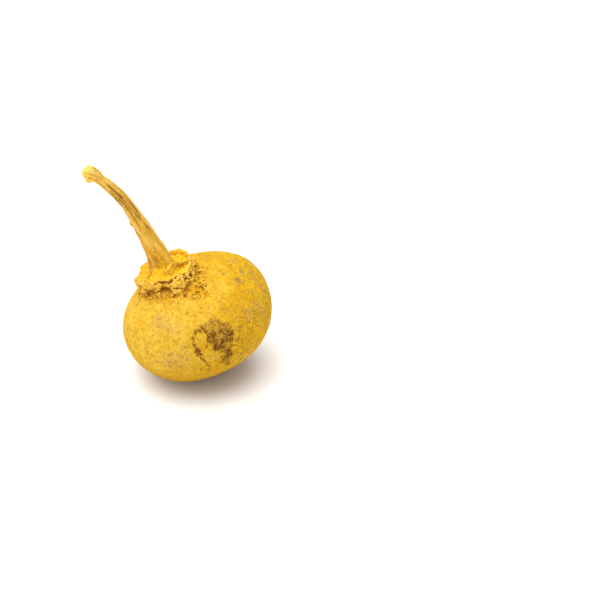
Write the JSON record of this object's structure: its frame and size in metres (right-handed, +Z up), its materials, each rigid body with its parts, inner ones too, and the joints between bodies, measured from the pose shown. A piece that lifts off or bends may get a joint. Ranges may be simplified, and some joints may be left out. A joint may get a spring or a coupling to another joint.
{
  "type": "baobab fruit pod",
  "caption": "Squat golden baobab fruit pod resting on its belly, with a crusty cork collar and a long bent woody stalk that ends in a knob.",
  "frame": {"origin": "centre of the small flat spot that the pod rests on", "axes": "+Z up, away from the surface; the stalk leans and bends towards -X; -Y is the front, the side with the large brown blotch"},
  "size_m": [0.1334, 0.1083, 0.178],
  "materials": {
    "pod_skin": "velvety, finely granular golden skin with brown and grey-lilac blotches",
    "cork_crust": "dry, crumbly tan cork with dark hollows",
    "dry_stalk": "dry fibrous tan stalk with fine ridges and dark flecks"
  },
  "bodies": {
    "root": {"pod_body": "pod_skin", "calyx_collar": "cork_crust", "stalk": "dry_stalk"}
  },
  "joints": []
}
